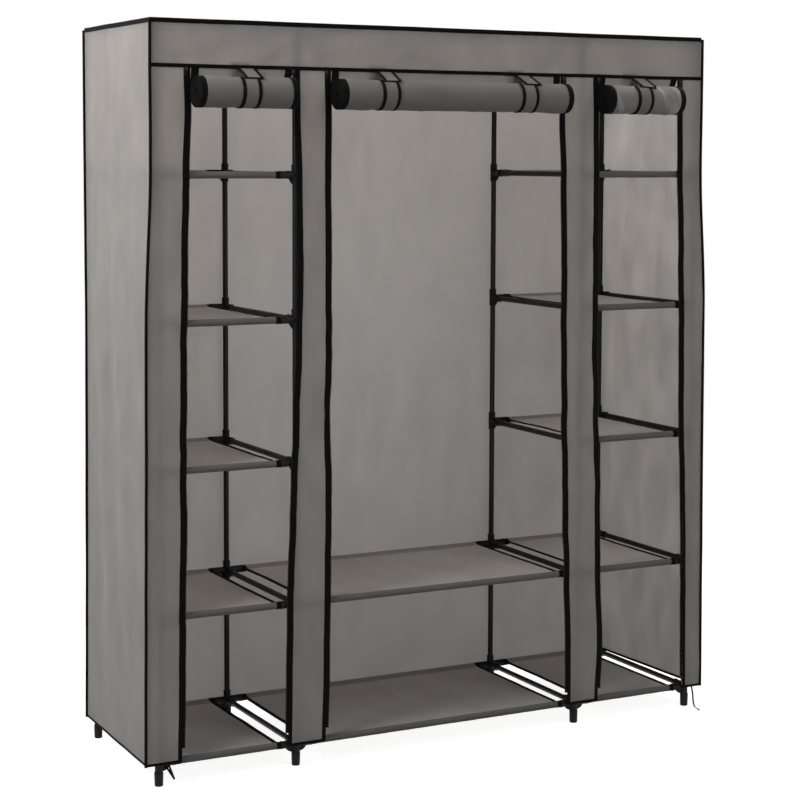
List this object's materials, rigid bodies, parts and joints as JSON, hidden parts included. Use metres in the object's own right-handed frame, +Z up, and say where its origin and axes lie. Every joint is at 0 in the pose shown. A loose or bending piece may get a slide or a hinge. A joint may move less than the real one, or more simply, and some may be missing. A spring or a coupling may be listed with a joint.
{
  "type": "portable fabric wardrobe",
  "caption": "Free-standing three-bay wardrobe: plug-together tube frame, cloth shelves and hanging rod under a zipped cloth cover with roll-up doors.",
  "frame": {"origin": "on the floor under the middle of the bounding box, rolled doors included", "axes": "+X to the right along the front, -Y out of the front where the doors are, +Z up"},
  "size_m": [1.538, 0.53, 1.75],
  "materials": {
    "frame_steel": "black powder coat, satin",
    "black_plastic": "moulded black plastic, satin",
    "cover_cloth": "grey non-woven cloth, spot-bonded, matt",
    "shelf_cloth": "dark grey non-woven cloth, matt",
    "black_tape": "black woven binding and zip tape",
    "zip_metal": "black lacquered zip slider"
  },
  "bodies": {
    "root": {"side_frame_left": "frame_steel", "side_frame_left_divider": "frame_steel", "side_frame_right_divider": "frame_steel", "side_frame_right": "frame_steel", "foot_front_left": "black_plastic", "foot_back_left": "black_plastic", "foot_front_left_divider": "black_plastic", "foot_back_left_divider": "black_plastic", "foot_front_right_divider": "black_plastic", "foot_back_right_divider": "black_plastic", "foot_front_right": "black_plastic", "foot_back_right": "black_plastic", "shelf_left_1": "shelf_cloth", "shelf_left_2": "shelf_cloth", "shelf_left_3": "shelf_cloth", "shelf_left_4": "shelf_cloth", "shelf_left_5": "shelf_cloth", "top_bar_front_left": "frame_steel", "top_bar_back_left": "frame_steel", "shelf_middle_1": "shelf_cloth", "shelf_middle_2": "shelf_cloth", "top_bar_front_middle": "frame_steel", "top_bar_back_middle": "frame_steel", "shelf_right_1": "shelf_cloth", "shelf_right_2": "shelf_cloth", "shelf_right_3": "shelf_cloth", "shelf_right_4": "shelf_cloth", "shelf_right_5": "shelf_cloth", "top_bar_front_right": "frame_steel", "top_bar_back_right": "frame_steel", "hanging_rod": "frame_steel", "rod_holder_left": "black_plastic", "rod_holder_right": "black_plastic", "cover_top": "cover_cloth", "cover_side_left": "cover_cloth", "cover_side_right": "cover_cloth", "cover_back": "cover_cloth", "cover_valance": "cover_cloth", "front_strip_left": "cover_cloth", "front_strip_left_divider": "cover_cloth", "front_strip_right_divider": "cover_cloth", "front_strip_right": "cover_cloth", "door_left_curtain": "cover_cloth", "door_left_strap_1": "black_tape", "door_middle_curtain": "cover_cloth", "door_middle_strap_1": "black_tape", "door_middle_strap_2": "black_tape", "door_right_curtain": "cover_cloth", "door_right_strap_1": "black_tape", "tie_front_left": "black_tape", "tie_front_right": "black_tape"},
    "door_left": {"door_left_roll": "cover_cloth"},
    "door_middle": {"door_middle_roll": "cover_cloth"},
    "door_right": {"door_right_roll": "cover_cloth"},
    "zip_slider_left_door_left": {"zip_slider_left_door_left": "zip_metal"},
    "zip_slider_left_door_right": {"zip_slider_left_door_right": "zip_metal"},
    "zip_slider_middle_door_left": {"zip_slider_middle_door_left": "zip_metal"},
    "zip_slider_middle_door_right": {"zip_slider_middle_door_right": "zip_metal"},
    "zip_slider_right_door_left": {"zip_slider_right_door_left": "zip_metal"},
    "zip_slider_right_door_right": {"zip_slider_right_door_right": "zip_metal"}
  },
  "joints": [
    {"name": "left_door_unroll", "type": "slide", "parent": "root", "child": "door_left", "axis": [0, 0, -1], "range_m": [0, 1.49], "deforming": ["door_left_curtain", "door_left_strap_1"]},
    {"name": "middle_door_unroll", "type": "slide", "parent": "root", "child": "door_middle", "axis": [0, 0, -1], "range_m": [0, 1.49], "deforming": ["door_middle_curtain", "door_middle_strap_1", "door_middle_strap_2"]},
    {"name": "right_door_unroll", "type": "slide", "parent": "root", "child": "door_right", "axis": [0, 0, -1], "range_m": [0, 1.49], "deforming": ["door_right_curtain", "door_right_strap_1"]},
    {"name": "left_door_zip_left", "type": "slide", "parent": "root", "child": "zip_slider_left_door_left", "axis": [0, 0, -1], "range_m": [0, 1.49]},
    {"name": "left_door_zip_right", "type": "slide", "parent": "root", "child": "zip_slider_left_door_right", "axis": [0, 0, -1], "range_m": [0, 1.49]},
    {"name": "middle_door_zip_left", "type": "slide", "parent": "root", "child": "zip_slider_middle_door_left", "axis": [0, 0, -1], "range_m": [0, 1.49]},
    {"name": "middle_door_zip_right", "type": "slide", "parent": "root", "child": "zip_slider_middle_door_right", "axis": [0, 0, -1], "range_m": [0, 1.49]},
    {"name": "right_door_zip_left", "type": "slide", "parent": "root", "child": "zip_slider_right_door_left", "axis": [0, 0, -1], "range_m": [0, 1.49]},
    {"name": "right_door_zip_right", "type": "slide", "parent": "root", "child": "zip_slider_right_door_right", "axis": [0, 0, -1], "range_m": [0, 1.49]}
  ],
  "couplings": [
    {"joint": "left_door_zip_left", "follows": "left_door_unroll", "ratio": 1},
    {"joint": "left_door_zip_right", "follows": "left_door_unroll", "ratio": 1},
    {"joint": "middle_door_zip_left", "follows": "middle_door_unroll", "ratio": 1},
    {"joint": "middle_door_zip_right", "follows": "middle_door_unroll", "ratio": 1},
    {"joint": "right_door_zip_left", "follows": "right_door_unroll", "ratio": 1},
    {"joint": "right_door_zip_right", "follows": "right_door_unroll", "ratio": 1}
  ]
}
